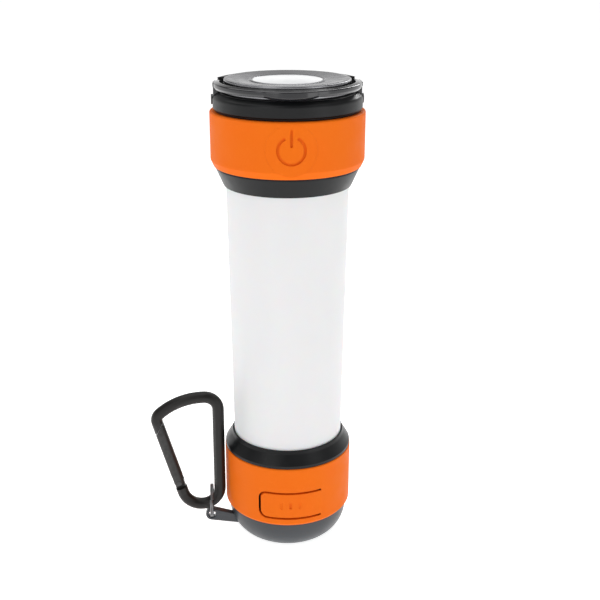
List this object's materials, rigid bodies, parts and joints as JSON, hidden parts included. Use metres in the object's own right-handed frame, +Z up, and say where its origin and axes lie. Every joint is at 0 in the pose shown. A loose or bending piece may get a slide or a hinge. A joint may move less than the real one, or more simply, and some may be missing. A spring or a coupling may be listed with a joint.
{
  "type": "lantern torch",
  "caption": "Hand torch with a spot lamp on top, a frosted lantern tube, rubber bands with button and port flap, folding hanger and carabiner.",
  "frame": {"origin": "centre of the flat foot, on the long axis", "axes": "+Z up the long axis to the spot lamp; the button and the port flap face -Y; the carabiner hangs on the -X side"},
  "size_m": [0.0729, 0.05, 0.162],
  "materials": {
    "orange_silicone": "soft moulded silicone, satin",
    "black_plastic": "satin moulded plastic, fine texture",
    "cap_plastic": "satin moulded plastic",
    "gloss_black": "polished moulded plastic",
    "bezel_finish": "polished dark anodised",
    "frosted_tube": "frosted translucent polycarbonate",
    "lens_white": "opal polycarbonate",
    "reflector_coat": "vacuum metallised",
    "white_plastic": "white moulded plastic",
    "cell_wrap": "plain shrink wrap on a steel can; density close to a lithium cell",
    "contact_metal": "nickel plated",
    "seal_rubber": "moulded rubber",
    "board": "solder-masked circuit board",
    "led_board_metal": "bare aluminium",
    "led_phosphor": "phosphor under clear resin",
    "switch_plastic": "moulded plastic",
    "steel": "zinc plated",
    "ring_steel": "dark nickel plated",
    "hook_metal": "black anodised, satin",
    "wire_jacket": "wire insulation"
  },
  "bodies": {
    "torch": {"bail_pins": "steel", "base_cap": "cap_plastic", "base_housing": "black_plastic", "base_screws": "steel", "battery_cell": "cell_wrap", "bezel": "bezel_finish", "contact_spring": "contact_metal", "core_sleeve": "white_plastic", "diffuser_tube": "frosted_tube", "driver_board": "board", "harness_wires": "wire_jacket", "head_collar": "black_plastic", "head_housing": "black_plastic", "heat_sink": "led_board_metal", "heat_sink_screws": "steel", "lantern_leds": "led_phosphor", "led_board": "led_board_metal", "led_board_screws": "steel", "lens": "lens_white", "lens_seal": "seal_rubber", "light_strips": "board", "lower_band": "orange_silicone", "lower_collar": "black_plastic", "lower_core_plug": "white_plastic", "lower_seal": "seal_rubber", "port_board": "board", "power_board": "board", "reflector": "reflector_coat", "spot_led": "led_phosphor", "switch_board": "board", "tact_switch": "switch_plastic", "top_contact": "contact_metal", "upper_band": "orange_silicone", "upper_core_plug": "white_plastic", "upper_seal": "seal_rubber", "usb_in_shell": "steel", "usb_in_tongue": "switch_plastic", "usb_out_shell": "steel", "usb_out_tongue": "switch_plastic"},
    "bail": {"hanging_bail": "gloss_black"},
    "button": {"power_button": "orange_silicone", "button_actuator": "black_plastic", "switch_stem": "switch_plastic"},
    "flap": {"port_flap": "orange_silicone"},
    "ring": {"split_ring": "ring_steel"},
    "hook": {"carabiner_body": "hook_metal", "gate_pin": "steel"},
    "gate": {"carabiner_gate": "hook_metal", "gate_spring": "steel"}
  },
  "joints": [
    {"name": "bail_swing", "type": "hinge", "parent": "torch", "child": "bail", "pos_m": [0, 0, 0.1554], "axis": [-1, 0, 0], "range_deg": [0, 90]},
    {"name": "button_press", "type": "slide", "parent": "torch", "child": "button", "axis": [0, 1, 0], "range_m": [0, 0.0006], "stiffness_N_per_m": 800},
    {"name": "flap_open", "type": "hinge", "parent": "torch", "child": "flap", "pos_m": [0.0105, -0.01967, 0.01955], "axis": [0, 0, 1], "range_deg": [0, 110], "stiffness_Nm_per_rad": 0.002},
    {"name": "ring_swing", "type": "hinge", "parent": "torch", "child": "ring", "pos_m": [-0.0275, -0.006, 0.0078], "axis": [0, -1, 0], "range_deg": [0, 100]},
    {"name": "hook_tilt", "type": "hinge", "parent": "ring", "child": "hook", "pos_m": [-0.0312, -0.006, 0.0186], "axis": [0, -1, 0], "range_deg": [0, 90]},
    {"name": "gate_open", "type": "hinge", "parent": "hook", "child": "gate", "pos_m": [-0.03892, -0.006, 0.02115], "axis": [0, 1, 0], "range_deg": [0, 28], "stiffness_Nm_per_rad": 0.02, "springref_deg": -17.19}
  ]
}
